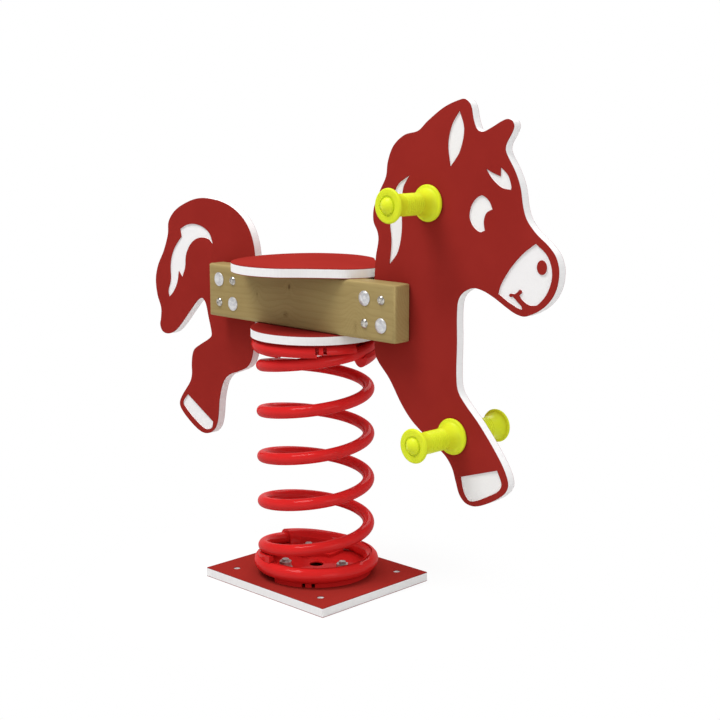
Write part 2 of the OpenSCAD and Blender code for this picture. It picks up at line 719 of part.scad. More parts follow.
module seat_plate() {
    color(sheet_red) difference() {
        translate([seat_x, 0, seat_z]) linear_extrude(sheet_t)
            polygon(smooth_loop(sized(mirrored(seat_half_shares), seat_l, seat_w / 2), seat_steps));
        for (k = angle_shares) translate([k * angle_span, 0, seat_z])
            cylinder_from(-cut_over, angle_screw_l + bolt_gap, angle_screw_r + bolt_gap);
    }
}

// steel angles between the beams, turned to each beam in turn
module at_angles() {
    for (i = [0 : len(angle_shares) - 1])
        translate([angle_shares[i] * angle_span, 0, seat_z]) mirror([0, i % 2, 0]) children();
}

module seat_angles() {
    color(zinc) at_angles() difference() {
        union() {
            translate([-angle_l / 2, -sheet_t / 2, -angle_h]) cube([angle_l, angle_t, angle_h]);
            translate([-angle_l / 2, -sheet_t / 2, -angle_t]) cube([angle_l, sheet_t - angle_t, angle_t]);
        }
        cylinder_from(-angle_t - cut_over, cut_over, angle_screw_r + bolt_gap);
        translate([0, 0, -angle_drop]) cross_pin(angle_screw_r + bolt_gap, sheet_t + 2 * cut_over);
    }
}

module seat_screws() {
    color(zinc) at_angles() {
        cylinder_from(-angle_t, angle_screw_l, angle_screw_r);
        cylinder_from(-angle_t - angle_head_h, -angle_t, angle_head_r);
        translate([0, angle_t - sheet_t / 2, -angle_drop]) rotate([90, 0, 0]) {
            cylinder_from(0, angle_t + angle_screw_l, angle_screw_r);
            cylinder_from(-angle_head_h, 0, angle_head_r);
        }
    }
}

// through bolts with their domes on the right, domed nuts on the left
module panel_bolts() {
    color(zinc) at_bolts(1) translate([0, -beam_face, 0]) rotate([90, 0, 0]) {
        dome(dome_d, dome_h);
        cylinder_from(-2 * beam_face - dome_h / 2, 0, bolt_d / 2);
    }
}

module panel_bolt_nuts() {
    color(zinc) at_bolts(1) translate([0, beam_face, 0]) rotate([-90, 0, 0]) difference() {
        dome(dome_d, dome_h);
        cylinder_from(-cut_over, dome_h / 2 + bolt_gap, bolt_d / 2 + bolt_gap);
    }
}

module button() {
    difference() {
        dome(button_d, button_h);
        translate([0, 0, button_h - socket_l]) hex_nut(socket_across, socket_l + cut_over);
    }
}

// dome-headed screws through one beam into the panels
module beam_screws() {
    at_bolts(-1) translate([0, -beam_face, 0]) rotate([90, 0, 0]) {
        button();
        cylinder_from(tip_gap - beam_t - sheet_t / 2, 0, screw_d / 2);
    }
}

module right_screws() {
    color(zinc) beam_screws();
}

module left_screws() {
    color(zinc) mirror([0, 1, 0]) beam_screws();
}

// half section of a grip: rounded flanges that flare from a ribbed shaft, rod bore and nut counterbore
function rim(d, z) = [for (a = [-90 : 15 : 90])
    [d / 2 - flange_t / 2 + flange_t / 2 * cos(a), z + flange_t / 2 + flange_t / 2 * sin(a)]];
function flare(d, z, side) = let (r = d / 2 - flange_t / 2, depth = r - grip_d / 2)
    [for (a = [15 : 15 : 90]) [r - depth * sin(a), z + side * flare_l * (1 - cos(a))]];
function ribs() = [for (i = [0 : rib_count - 1]) for (k = [1 : 3])
    [grip_d / 2 - (k == 2 ? rib_d : 0), shaft_from + rib_pitch * (i + k / 4)]];
function grip_section() = concat([[rod_d / 2 + bolt_gap, 0]], rim(flange_d, 0),
    flare(flange_d, flange_t, 1), ribs(), reversed(flare(knob_d, grip_l - flange_t, -1)),
    rim(knob_d, grip_l - flange_t), [[grip_bore, grip_l], [grip_bore, grip_l - grip_bore_l],
    [rod_d / 2 + bolt_gap, grip_l - grip_bore_l]]);

module grip() {
    translate([0, -sheet_t / 2, 0]) rotate([90, 0, 0]) rotate_extrude() polygon(grip_section());
}

module at_handle(p) {
    translate([p[0], 0, p[1]]) children();
}

module right_hand_grip() {
    color(lime) at_handle(hand_at) grip();
}

module left_hand_grip() {
    color(lime) at_handle(hand_at) mirror([0, 1, 0]) grip();
}

module right_foot_peg() {
    color(lime) at_handle(foot_at) grip();
}

module left_foot_peg() {
    color(lime) at_handle(foot_at) mirror([0, 1, 0]) grip();
}

// rod through both grips and the panel, a nut down each counterbore
module handle_rod() {
    rod_l = sheet_t + 2 * (grip_l - grip_bore_l + nut_h);
    cross_pin(rod_d / 2, rod_l);
    for (side = [0, 1]) mirror([0, side, 0])
        translate([0, -sheet_t / 2 - grip_l + grip_bore_l, 0]) rotate([90, 0, 0]) hex_nut(nut_across, nut_h);
}

module hand_grip_rod() {
    color(zinc) at_handle(hand_at) handle_rod();
}

module foot_peg_rod() {
    color(zinc) at_handle(foot_at) handle_rod();
}

module grip_caps() {
    color(lime) for (p = [hand_at, foot_at], side = [0, 1]) at_handle(p) mirror([0, side, 0])
        translate([0, -sheet_t / 2 - grip_l, 0]) rotate([90, 0, 0]) {
            dome(cap_d, cap_h);
            cylinder_from(-plug_l, 0, grip_bore - bolt_gap);
        }
}

base_plate();
lower_band();
lower_dish();
lower_claw();
lower_bolts();
lower_nuts();
gap_block();
spring();
upper_dish();
upper_claw();
upper_bolts();
upper_nuts();
support_disc();
disc_screws();
right_beam();
left_beam();
front_panel();
rear_panel();
seat_plate();
seat_angles();
seat_screws();
panel_bolts();
panel_bolt_nuts();
right_screws();
left_screws();
right_hand_grip();
left_hand_grip();
hand_grip_rod();
right_foot_peg();
left_foot_peg();
foot_peg_rod();
grip_caps();
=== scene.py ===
# Spring rider: the visual model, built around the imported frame. Lengths are metres.
import json
import math

import bmesh
import bpy
from mathutils import Matrix, Vector

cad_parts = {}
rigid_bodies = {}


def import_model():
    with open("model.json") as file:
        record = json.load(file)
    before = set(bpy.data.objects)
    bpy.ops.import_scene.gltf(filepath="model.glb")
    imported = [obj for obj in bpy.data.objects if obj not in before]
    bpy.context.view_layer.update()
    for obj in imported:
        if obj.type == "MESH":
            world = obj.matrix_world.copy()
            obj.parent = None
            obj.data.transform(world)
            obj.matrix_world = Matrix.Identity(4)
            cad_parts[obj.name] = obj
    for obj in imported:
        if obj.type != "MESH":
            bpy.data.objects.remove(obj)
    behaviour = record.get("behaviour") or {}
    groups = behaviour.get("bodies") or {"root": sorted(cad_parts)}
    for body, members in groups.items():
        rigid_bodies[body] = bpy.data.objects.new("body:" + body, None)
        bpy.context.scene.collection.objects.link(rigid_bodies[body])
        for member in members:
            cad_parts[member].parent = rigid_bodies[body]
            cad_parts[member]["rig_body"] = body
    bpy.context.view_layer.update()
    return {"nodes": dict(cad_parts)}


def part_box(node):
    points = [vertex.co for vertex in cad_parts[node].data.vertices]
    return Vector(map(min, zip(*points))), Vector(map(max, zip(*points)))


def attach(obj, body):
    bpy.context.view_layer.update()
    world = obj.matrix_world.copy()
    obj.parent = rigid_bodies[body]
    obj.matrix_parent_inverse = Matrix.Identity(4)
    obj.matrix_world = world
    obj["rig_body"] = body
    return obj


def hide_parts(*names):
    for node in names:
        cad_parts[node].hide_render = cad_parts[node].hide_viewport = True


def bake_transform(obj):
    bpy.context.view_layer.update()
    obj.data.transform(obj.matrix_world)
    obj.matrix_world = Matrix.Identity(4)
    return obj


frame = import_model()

nodes = frame["nodes"]
MM = 0.001


# Node helpers

class Tree:
    """The node tree of a material or of the world, with short calls for the nodes used below."""

    def __init__(self, owner, emptied=False, coordinate="Object"):
        owner.use_nodes = True
        self.owner = owner
        self.nodes = owner.node_tree.nodes
        self.links = owner.node_tree.links
        if emptied:
            self.nodes.clear()
        self.place = self.nodes.new("ShaderNodeTexCoord").outputs[coordinate]

    def feed(self, socket, value):
        if isinstance(value, bpy.types.NodeSocket):
            self.links.new(value, socket)
        else:
            socket.default_value = value

    def math(self, operation, *values):
        node = self.nodes.new("ShaderNodeMath")
        node.operation = operation
        for socket, value in zip(node.inputs, values):
            self.feed(socket, value)
        return node.outputs[0]

    def parts(self):
        node = self.nodes.new("ShaderNodeSeparateXYZ")
        self.feed(node.inputs[0], self.place)
        return node.outputs

    def length(self):
        node = self.nodes.new("ShaderNodeVectorMath")
        node.operation = "LENGTH"
        self.feed(node.inputs[0], self.place)
        return node.outputs["Value"]

    def scaled(self, x, y, z, shift=(0, 0, 0)):
        node = self.nodes.new("ShaderNodeMapping")
        self.feed(node.inputs["Vector"], self.place)
        node.inputs["Location"].default_value = shift
        node.inputs["Scale"].default_value = (x, y, z)
        return node.outputs[0]

    def noise(self, scale, detail, rough=0.55, vector=None):
        node = self.nodes.new("ShaderNodeTexNoise")
        self.feed(node.inputs["Vector"], vector or self.place)
        node.inputs["Scale"].default_value = scale
        node.inputs["Detail"].default_value = detail
        node.inputs["Roughness"].default_value = rough
        return node.outputs[0]

    def ranged(self, value, low, high, to_low=0.0, to_high=1.0, smooth=True):
        node = self.nodes.new("ShaderNodeMapRange")
        node.interpolation_type = "SMOOTHSTEP" if smooth else "LINEAR"
        self.feed(node.inputs["Value"], value)
        limits = {"From Min": low, "From Max": high, "To Min": to_low, "To Max": to_high}
        for name, number in limits.items():
            node.inputs[name].default_value = number
        return node.outputs[0]

    def mixed(self, factor, a, b):
        node = self.nodes.new("ShaderNodeMix")
        node.data_type = "RGBA"
        self.feed(node.inputs["Factor"], factor)
        for socket, value in ((node.inputs[6], a), (node.inputs[7], b)):
            self.feed(socket, value if isinstance(value, bpy.types.NodeSocket) else (*value, 1.0))
        return node.outputs[2]

    def bump(self, height, strength, distance, normal=None):
        node = self.nodes.new("ShaderNodeBump")
        node.inputs["Strength"].default_value = strength
        node.inputs["Distance"].default_value = distance
        self.feed(node.inputs["Height"], height)
        if normal is not None:
            self.feed(node.inputs["Normal"], normal)
        return node.outputs[0]

    def shader(self, kind, **inputs):
        node = self.nodes.new(kind)
        for name, value in inputs.items():
            self.feed(node.inputs[name], value)
        return node.outputs[0]

    def shader_mix(self, factor, a, b):
        node = self.nodes.new("ShaderNodeMixShader")
        for socket, value in zip(node.inputs, (factor, a, b)):
            self.feed(socket, value)
        return node.outputs[0]

    def output(self, kind, surface):
        self.feed(self.nodes.new(kind).inputs["Surface"], surface)

    def shown_rays(self):
        """1 on the rays that see the plain background: camera, transmission and glossy rays."""
        path = self.nodes.new("ShaderNodeLightPath").outputs
        seen = self.math("MAXIMUM", path["Is Camera Ray"], path["Is Transmission Ray"])
        return self.math("MAXIMUM", seen, path["Is Glossy Ray"])

    def finish(self, colour, roughness, normal, **fixed):
        """Fill the material's own shader: linked colour, roughness and normal, and fixed values by name."""
        inputs = self.nodes["Principled BSDF"].inputs
        self.feed(inputs["Base Color"], colour)
        self.feed(inputs["Roughness"], roughness)
        self.feed(inputs["Normal"], normal)
        for name, value in fixed.items():
            inputs[name.replace("_", " ")].default_value = value
        return self.owner


def new_tree(name):
    return Tree(bpy.data.materials.new(name))


# Sheet material: red skins on a white core

SKIN_RED = (0.306, 0.0242, 0.0191)
SKIN_DARK = (0.281, 0.0217, 0.0171)
SKIN_WORN = (0.380, 0.0420, 0.0390)
CORE_WHITE = (0.880, 0.868, 0.866)
CORE_GREY = (0.840, 0.828, 0.830)
HALF_SHEET = 8.0 * MM
SKIN_BLUR = 0.12 * MM
# skin thickness on the lower and the upper side of a sheet's own axis
LEVEL_SKINS = (1.0 * MM, 1.3 * MM)
STANDING_SKINS = (1.2 * MM, 0.6 * MM)
# depths below the face between which the skin's rounded edge is rubbed paler
RUB_DEPTHS = (0.05 * MM, 0.25 * MM, 0.4 * MM, 0.75 * MM)
# noise scales along and across the saw marks on a cut edge
SAW_ALONG = 60.0
SAW_ACROSS = 900.0
FINE_GRAIN = 0.15 * MM


def sheet_material(name, axis, middle, skins):
    """Three-layer sheet whose core shows at the edges and in routed pockets."""
    t = new_tree(name)
    above = t.math("SUBTRACT", t.parts()[axis], middle)
    below = t.math("MULTIPLY", above, -1.0)
    skin = t.math("MAXIMUM", *(t.ranged(off, HALF_SHEET - thick - SKIN_BLUR, HALF_SHEET - thick + SKIN_BLUR)
                               for off, thick in zip((below, above), skins)))
    core = t.math("SUBTRACT", 1.0, skin)
    off = t.math("ABSOLUTE", above)
    clouds = t.noise(9.0, detail=4.0)
    grain = t.noise(1500.0, detail=2.0)
    red = t.mixed(t.ranged(clouds, 0.3, 0.7), SKIN_DARK, SKIN_RED)
    depths = [HALF_SHEET - depth for depth in RUB_DEPTHS]
    arris = t.math("MULTIPLY", t.ranged(off, depths[3], depths[2]), t.ranged(off, depths[0], depths[1]))
    worn = t.math("MULTIPLY", arris, t.ranged(t.noise(60.0, detail=4.0), 0.52, 0.75, 0.0, 0.5))
    red = t.mixed(worn, red, SKIN_WORN)
    stretch = [SAW_ACROSS, SAW_ACROSS, SAW_ACROSS]
    stretch[axis] = SAW_ALONG
    chatter = t.noise(1.0, detail=3.0, vector=t.scaled(*stretch))
    white = t.mixed(t.ranged(chatter, 0.35, 0.75), CORE_WHITE, CORE_GREY)
    colour = t.mixed(skin, white, red)
    rough = t.math("ADD", t.ranged(grain, 0.3, 0.7, 0.50, 0.60, smooth=False), t.math("MULTIPLY", core, 0.1))
    cut = t.bump(t.math("MULTIPLY", chatter, core), 0.08, FINE_GRAIN)
    normal = t.bump(t.math("MULTIPLY", grain, skin), 0.10, FINE_GRAIN, cut)
    return t.finish(colour, rough, normal, Specular_IOR_Level=0.0)


# Powder coat, plated steel and lime plastic

COAT_REDS = ((0.575, 0.0165, 0.0163), (0.625, 0.0190, 0.0186))
ORANGE_PEEL = 0.25 * MM
LIMES = ((0.662, 0.743, 0.0200), (0.702, 0.778, 0.0245))
LIME_GRAIN = 0.12 * MM
LIME_MILKINESS = 1.5 * MM
TURNING_MARK = 0.1 * MM
# how much rougher plated steel gets in its dullest spots
PLATE_SPREAD = 0.16


def coat_material(name):
    """Gloss powder coat: even colour with faint orange peel."""
    t = new_tree(name)
    peel = t.noise(420.0, detail=2.0)
    clouds = t.noise(14.0, detail=3.0)
    colour = t.mixed(t.ranged(clouds, 0.3, 0.7), *COAT_REDS)
    rough = t.ranged(t.noise(55.0, detail=4.0), 0.3, 0.75, 0.26, 0.36, smooth=False)
    normal = t.bump(peel, 0.06, ORANGE_PEEL)
    return t.finish(colour, rough, normal, Coat_Weight=0.20, Coat_Roughness=0.04, Specular_IOR_Level=0.0)


def plate_material(name, dull, bright, metal, smoothest):
    """Plated steel between two greys, with soft blotches and fine turning marks."""
    t = new_tree(name)
    blotch = t.noise(170.0, detail=2.0)
    colour = t.mixed(t.ranged(blotch, 0.35, 0.65), dull, bright)
    marks = t.noise(700.0, detail=3.0)
    rough = t.ranged(marks, 0.3, 0.7, smoothest, smoothest + PLATE_SPREAD, smooth=False)
    normal = t.bump(t.noise(900.0, detail=2.0), 0.06, TURNING_MARK)
    return t.finish(colour, rough, normal, Metallic=metal)


def lime_material(name):
    """Moulded plastic, slightly milky, with a fine spark-eroded grain."""
    t = new_tree(name)
    clouds = t.noise(30.0, detail=3.0)
    colour = t.mixed(t.ranged(clouds, 0.3, 0.7), *LIMES)
    grain = t.noise(1300.0, detail=2.0)
    rough = t.ranged(grain, 0.3, 0.7, 0.30, 0.42, smooth=False)
    normal = t.bump(grain, 0.06, LIME_GRAIN)
    return t.finish(colour, rough, normal, Subsurface_Weight=0.03, Subsurface_Scale=LIME_MILKINESS,
                    Specular_IOR_Level=0.12)


# Timber

PINE_PALE = (0.370, 0.279, 0.116)
PINE_DEEP = (0.326, 0.240, 0.096)
LATE_WOOD = (0.240, 0.160, 0.058)
FIBRE_DARK = (0.225, 0.155, 0.058)
KNOT_BROWN = (0.120, 0.070, 0.024)
# the paler pine of the painted highlight on the arrises
ARRIS_HIGHLIGHT_PINE = (0.560, 0.425, 0.185)
RING_WIDTH = 5.2 * MM
RING_SWAY = 30.0 * MM
FIBRE_RELIEF = 0.35 * MM
RING_RELIEF = 0.3 * MM
# a knot's own stretch into the wood, the reach of the swell round it, and how far it bends the rings
KNOT_DEPTH_SHARE = 9.0
KNOT_SWELL = -0.12
KNOT_BEND_SHARE = 1.4
# distances from an edge between which a painted highlight makes the wood paler
ARRIS_HIGHLIGHT_FROM = 5.0 * MM
ARRIS_HIGHLIGHT_TO = 1.0 * MM


def timber_material(name, node, pith, knots, seed):
    """Planed pine, tinted green: year rings about a pith line, fibres, knots and arrises made paler by a
    painted highlight.
    """
    t = new_tree(name)
    low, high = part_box(node)
    x, y, z = t.parts()
    sway = t.noise(1.0, detail=2.0, vector=t.scaled(3.0, 9.0, 9.0, shift=(seed, 0, 0)))
    sway = t.math("MULTIPLY", t.math("SUBTRACT", sway, 0.5), RING_SWAY)
    dy = t.math("ADD", t.math("SUBTRACT", y, pith[0]), sway)
    dz = t.math("SUBTRACT", z, pith[1])
    ring = t.math("SQRT", t.math("ADD", t.math("MULTIPLY", dy, dy), t.math("MULTIPLY", dz, dz)))
    dark = 0.0
    for kx, ky, kz, half_l, half_h, depth in knots:
        ex = t.math("DIVIDE", t.math("SUBTRACT", x, kx), half_l)
        ey = t.math("DIVIDE", t.math("SUBTRACT", y, ky), KNOT_DEPTH_SHARE * half_l)
        ez = t.math("DIVIDE", t.math("SUBTRACT", z, kz), half_h)
        far = t.math("ADD", t.math("MULTIPLY", ex, ex),
                     t.math("ADD", t.math("MULTIPLY", ey, ey), t.math("MULTIPLY", ez, ez)))
        swell = t.math("EXPONENT", t.math("MULTIPLY", far, KNOT_SWELL))
        ring = t.math("ADD", ring, t.math("MULTIPLY", swell, KNOT_BEND_SHARE * half_h))
        frayed = t.ranged(t.noise(420.0, detail=3.0), 0.25, 0.75, -0.5, 0.6, smooth=False)
        spot = t.math("EXPONENT", t.math("MULTIPLY", t.math("ADD", far, frayed), -1.0))
        dark = t.math("MAXIMUM", dark, t.math("MULTIPLY", spot, depth))
    years = t.math("FRACT", t.math("MULTIPLY", ring, 1.0 / RING_WIDTH))
    late = t.math("MULTIPLY", t.ranged(years, 0.35, 0.92), t.ranged(years, 1.0, 0.93))
    fibre = t.noise(1.0, detail=5.0, rough=0.65, vector=t.scaled(14.0, 330.0, 330.0, shift=(seed, seed, 0)))
    patch = t.noise(1.0, detail=3.0, vector=t.scaled(5.0, 14.0, 22.0, shift=(0, seed, seed)))
    wood = t.mixed(t.ranged(patch, 0.3, 0.75), PINE_PALE, PINE_DEEP)
    wood = t.mixed(t.math("MULTIPLY", late, 0.20), wood, LATE_WOOD)
    wood = t.mixed(t.ranged(fibre, 0.45, 0.80, 0.0, 0.26), wood, FIBRE_DARK)
    wood = t.mixed(t.ranged(dark, 0.10, 0.85, 0.0, 0.80), wood, KNOT_BROWN)
    gap = []
    for axis, value in enumerate((x, y, z)):
        middle, half = (low[axis] + high[axis]) / 2, (high[axis] - low[axis]) / 2
        gap.append(t.math("SUBTRACT", half, t.math("ABSOLUTE", t.math("SUBTRACT", value, middle))))
    pairs = [t.math("MAXIMUM", gap[a], gap[b]) for a, b in ((0, 1), (1, 2), (0, 2))]
    edge = t.math("MINIMUM", pairs[0], t.math("MINIMUM", pairs[1], pairs[2]))
    # painted highlight: the wood turns paler towards every edge of its box
    near_edge = t.ranged(edge, ARRIS_HIGHLIGHT_FROM, ARRIS_HIGHLIGHT_TO, 0.0, 0.55)
    arris_highlight = t.math("MULTIPLY", near_edge, t.ranged(fibre, 0.2, 0.8, 1.0, 0.55))
    wood = t.mixed(arris_highlight, wood, ARRIS_HIGHLIGHT_PINE)
    rough = t.ranged(fibre, 0.3, 0.7, 0.52, 0.66, smooth=False)
    grain = t.bump(fibre, 0.22, FIBRE_RELIEF)
    normal = t.bump(late, 0.18, RING_RELIEF, grain)
    return t.finish(wood, rough, normal, Specular_IOR_Level=0.08)


def mid(node, axis):
    low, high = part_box(node)
    return (low[axis] + high[axis]) / 2


materials = {
    "red_steel": coat_material("red_powder_coat"),
    "zinc": plate_material("zinc_plate", (0.55, 0.55, 0.57), (0.72, 0.715, 0.71), 0.65, 0.26),
    "screw_steel": plate_material("screw_steel", (0.33, 0.31, 0.28), (0.62, 0.595, 0.55), 0.85, 0.18),
    # clamp steel: greys darker than the zinc as painted shade inside the dish, tinted pinkish as a painted
    # reflection of its red
    "clamp_steel_painted_shade_and_reflection": plate_material("clamp_steel_painted_shade_and_reflection", (0.40, 0.38, 0.37), (0.58, 0.56, 0.545), 0.75, 0.28),
    "lime": lime_material("lime_plastic"),
}
sheet_materials = {
    node: sheet_material("sheet_" + node, axis, mid(node, axis), skins)
    for axis, skins, names in ((2, LEVEL_SKINS, ("base_plate", "support_disc", "seat_plate")),
                               (1, STANDING_SKINS, ("front_panel", "rear_panel")))
    for node in names
}
BEAM_Z = mid("right_beam", 2)
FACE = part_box("left_beam")[1][1]
# place of each beam's pith in Y and Z
RIGHT_PITH = (0.030, BEAM_Z + 0.045)
LEFT_PITH = (-0.026, BEAM_Z - 0.050)
# each knot: place, half length along the grain, half height, depth of colour
RIGHT_KNOTS = [
    (-0.0146, -FACE, BEAM_Z + 0.0227, 0.0030, 0.0056, 1.00),
    (-0.0245, -FACE, BEAM_Z - 0.0246, 0.0075, 0.0062, 0.60),
    (-0.0956, -FACE, BEAM_Z + 0.0036, 0.0036, 0.0060, 0.50),
    (0.1390, -FACE, BEAM_Z - 0.0290, 0.0058, 0.0140, 0.42),
]
LEFT_KNOTS = [
    (0.0820, FACE, BEAM_Z + 0.0240, 0.0036, 0.0052, 0.90),
    (-0.0980, FACE, BEAM_Z - 0.0180, 0.0070, 0.0058, 0.60),
]
timber_materials = {
    "right_beam": timber_material("timber_right", "right_beam", RIGHT_PITH, RIGHT_KNOTS, 3.1),
    "left_beam": timber_material("timber_left", "left_beam", LEFT_PITH, LEFT_KNOTS, 7.7),
}


# Mesh helpers

# points nearer than this become one, and faces that meet below this angle, in degrees, become one flat face
MERGE = 0.002 * MM
FLAT_ANGLE = 0.4


def add_object(name, mesh, material, body, replaced):
    """Link a finished mesh in place of CAD nodes. Without a body, the piece is left unattached."""
    piece = bpy.data.objects.new(name, mesh)
    bpy.context.scene.collection.objects.link(piece)
    mesh.materials.clear()
    mesh.materials.append(material)
    if body:
        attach(piece, body)
    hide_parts(*replaced)
    return piece


def finished_mesh(bm, name, smooth):
    """Turn bm into a mesh with outward normals, smooth where faces meet at less than the given angle."""
    bmesh.ops.recalc_face_normals(bm, faces=bm.faces)
    mesh = bpy.data.meshes.new(name)
    bm.to_mesh(mesh)
    bm.free()
    mesh.shade_smooth()
    mesh.set_sharp_from_angle(angle=math.radians(smooth))
    return mesh


def body_of(node):
    return nodes[node]["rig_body"]


def joined_copy(node):
    """The mesh of a CAD node with its doubled points joined."""
    bm = bmesh.new()
    bm.from_mesh(nodes[node].data)
    bmesh.ops.remove_doubles(bm, verts=bm.verts, dist=MERGE)
    return bm


def soften(node, material, width, segments, angle, smooth):
    """A copy of a CAD node with rounded arrises and smooth curved faces, in place of the node."""
    bm = joined_copy(node)
    bmesh.ops.dissolve_limit(bm, angle_limit=math.radians(FLAT_ANGLE), verts=bm.verts, edges=bm.edges)
    mesh = finished_mesh(bm, node + "_soft", smooth)
    piece = add_object(node + "_dressed", mesh, material, body_of(node), [node])
    bevel = piece.modifiers.new("arris", "BEVEL")
    bevel.width = width
    bevel.segments = segments
    bevel.limit_method = "ANGLE"
    bevel.angle_limit = math.radians(angle)
    bevel.harden_normals = True
    bevel.use_clamp_overlap = True


def islands(node):
    """Lowest and highest corner of each separate solid of a CAD node."""
    bm = joined_copy(node)
    seen, found = set(), []
    for start in bm.verts:
        if start in seen:
            continue
        stack, group = [start], []
        seen.add(start)
        while stack:
            vert = stack.pop()
            group.append(vert.co.copy())
            for edge in vert.link_edges:
                other = edge.other_vert(vert)
                if other not in seen:
                    seen.add(other)
                    stack.append(other)
        found.append((Vector([min(p[i] for p in group) for i in range(3)]),
                      Vector([max(p[i] for p in group) for i in range(3)])))
    bm.free()
    return found


def round_points(radius, height, steps):
    """Points of a level circle about the axis, or the one point on the axis where the radius is nothing."""
    if radius == 0:
        return [Vector((0, 0, height))]
    turns = [2 * math.pi * k / steps for k in range(steps)]
    return [Vector((radius * math.cos(turn), radius * math.sin(turn), height)) for turn in turns]


def lathe(bm, profile, place, steps, closed=False):
    """Add a solid of revolution: a profile of (radius, height) from axis to axis, or closed on itself."""
    rings = [[bm.verts.new(place @ point) for point in round_points(radius, height, steps)]
             for radius, height in profile]
    for a, b in zip(rings, rings[1:] + rings[:1] if closed else rings[1:]):
        for k in range(steps):
            n = (k + 1) % steps
            if len(a) == 1:
                bm.faces.new((a[0], b[k], b[n]))
            elif len(b) == 1:
                bm.faces.new((a[k], b[0], a[n]))
            else:
                bm.faces.new((a[k], b[k], b[n], a[n]))


def arc(radius_at, height_at, radius, start, end, steps):
    """Points of an arc in (radius, height), angles in degrees."""
    turns = [math.radians(start + (end - start) * i / steps) for i in range(steps + 1)]
    return [(radius_at + radius * math.cos(turn), height_at + radius * math.sin(turn)) for turn in turns]


def dome(radius, height, rim, steps):
    """Points of a round cap from its edge to the axis, standing on a short upright rim."""
    rise = height - rim
    ball = (radius * radius + rise * rise) / (2 * rise)
    span = math.asin(min(1.0, radius / ball))
    turns = [span * (1 - i / steps) for i in range(steps)]
    curve = [(ball * math.sin(turn), height - ball + ball * math.cos(turn)) for turn in turns]
    return curve + [(0.0, height)]


def along_y(x, y, z, side):
    """Place whose local Z runs along Y, outwards on the given side."""
    return Matrix.Translation((x, y, z)) @ Matrix.Rotation(-side * math.pi / 2, 4, "X")


# Sheet parts, timber and steel clamps

SHEET_ARRIS = 0.9 * MM
TIMBER_ARRIS = 0.4 * MM
STEEL_ARRIS = 0.8 * MM

for node, material in sheet_materials.items():
    soften(node, material, SHEET_ARRIS, segments=3, angle=40.0, smooth=30.0)
for node, material in timber_materials.items():
    soften(node, material, TIMBER_ARRIS, segments=2, angle=60.0, smooth=35.0)
for node in ("lower_band", "lower_dish", "upper_dish", "lower_claw", "upper_claw", "gap_block"):
    soften(node, materials["red_steel"], STEEL_ARRIS, segments=3, angle=50.0, smooth=40.0)

# Spring

WIRE_R = 10.0 * MM
WIRE_SIDES = 28
WIRE_SMOOTH = 40.0
END_R = 94.5 * MM
FLARE = 4.5 * MM
FLARE_ANGLE = 90.0
PITCH = 78.5 * MM
TURNS = 4.8
EASE = 40.0
RISE_ANGLE = 88.0
LOWER_SWEEP = 240.0
UPPER_SWEEP = 225.0
WORK_ANGLE = 360.0 * TURNS + EASE
MIDDLE = WORK_ANGLE / 2
WIRE_Z0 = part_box("spring")[0][2] + WIRE_R
# the rounded cut at the wire's two free ends, and the length of one degree of an end turn
CUT_ROUND = 1.6 * MM
CUT_ANGLES = (30, 60, 90)
DEGREE_L = math.radians(1) * END_R
# degrees between the rings of the tube, and either side of a ring for its direction
RING_STEP = 3.75
LOOK_STEP = 0.5


def ease(a):
    """Degrees of full pitch that the wire has climbed at angle a, bending gently from flat."""
    if a <= 0:
        return 0.0
    return a * a / (2 * EASE) if a < EASE else a - EASE / 2


def smooth_step(t):
    t = min(max(t, 0.0), 1.0)
    return t * t * (3 - 2 * t)


def wire_point(a):
    """Middle of the wire at angle a, counted from where it leaves the lower end turn."""
    if a < MIDDLE:
        rise = PITCH / 360 * ease(a)
    else:
        rise = PITCH * TURNS - PITCH / 360 * ease(WORK_ANGLE - a)
    drawn_in = smooth_step((a - EASE) / FLARE_ANGLE) * smooth_step((WORK_ANGLE - a - EASE) / FLARE_ANGLE)
    reach = END_R - FLARE * drawn_in
    turn = math.radians(a + RISE_ANGLE)
    return Vector((reach * math.cos(turn), reach * math.sin(turn), WIRE_Z0 + rise))


def wire_ring(a, radius):
    """Points round the wire at angle a."""
    centre = wire_point(a)
    tangent = (wire_point(a + LOOK_STEP) - wire_point(a - LOOK_STEP)).normalized()
    turn = math.radians(a + RISE_ANGLE)
    out = Vector((math.cos(turn), math.sin(turn), 0))
    out = (out - tangent * out.dot(tangent)).normalized()
    down = tangent.cross(out)
    turns = [2 * math.pi * k / WIRE_SIDES for k in range(WIRE_SIDES)]
    return [centre + radius * (out * math.cos(turn) + down * math.sin(turn)) for turn in turns]


def cut_stations(end, inwards):
    """Angle and wire radius of the rings that round a free end, from the tube to the cut."""
    turns = [math.radians(angle) for angle in CUT_ANGLES]
    return [(end + inwards * CUT_ROUND * (1 - math.sin(turn)) / DEGREE_L,
             WIRE_R - CUT_ROUND * (1 - math.cos(turn))) for turn in turns]


